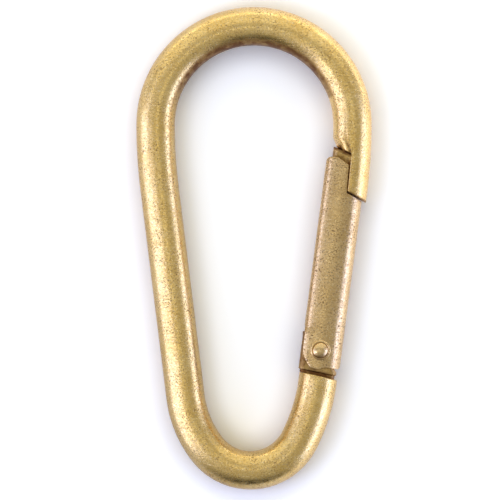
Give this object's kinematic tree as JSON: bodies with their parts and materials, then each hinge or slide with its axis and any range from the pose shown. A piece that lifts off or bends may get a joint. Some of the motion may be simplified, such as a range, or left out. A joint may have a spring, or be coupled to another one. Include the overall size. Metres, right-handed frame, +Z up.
{
  "type": "spring-gate snap hook",
  "caption": "Pear-shaped snap hook bent from round brass bar, with a folded sheet gate that swings inwards on a rivet and closes against a lapped nose.",
  "frame": {"origin": "under the middle of the hook's bounding box, on the surface that the hook lies on", "axes": "+Y along the hook towards its wide bend, +X towards the gate, +Z up through the thickness"},
  "size_m": [0.0488, 0.1, 0.0084],
  "materials": {
    "bar_brass": "tumbled, satin",
    "sheet_brass": "tumbled, satin",
    "rivet_brass": "satin",
    "plunger_brass": "turned",
    "spring_steel": "drawn wire"
  },
  "bodies": {
    "body": {"body": "bar_brass"},
    "gate": {"gate": "sheet_brass", "rivet": "rivet_brass", "spring": "spring_steel"},
    "plunger": {"plunger": "plunger_brass"}
  },
  "joints": [
    {"name": "gate_hinge", "type": "hinge", "parent": "body", "child": "gate", "pos_m": [0.01403, -0.02112, 0.004], "axis": [0, 0, 1], "range_deg": [0, 28], "stiffness_Nm_per_rad": 0.1, "springref_deg": -34.38},
    {"name": "plunger_slide", "type": "slide", "parent": "gate", "child": "plunger", "axis": [0.1305, 0.9914, 0], "range_m": [0, 0.0009], "deforming": ["spring"]}
  ],
  "couplings": [
    {"joint": "plunger_slide", "follows": "gate_hinge", "m_per_rad": 0.0018}
  ]
}
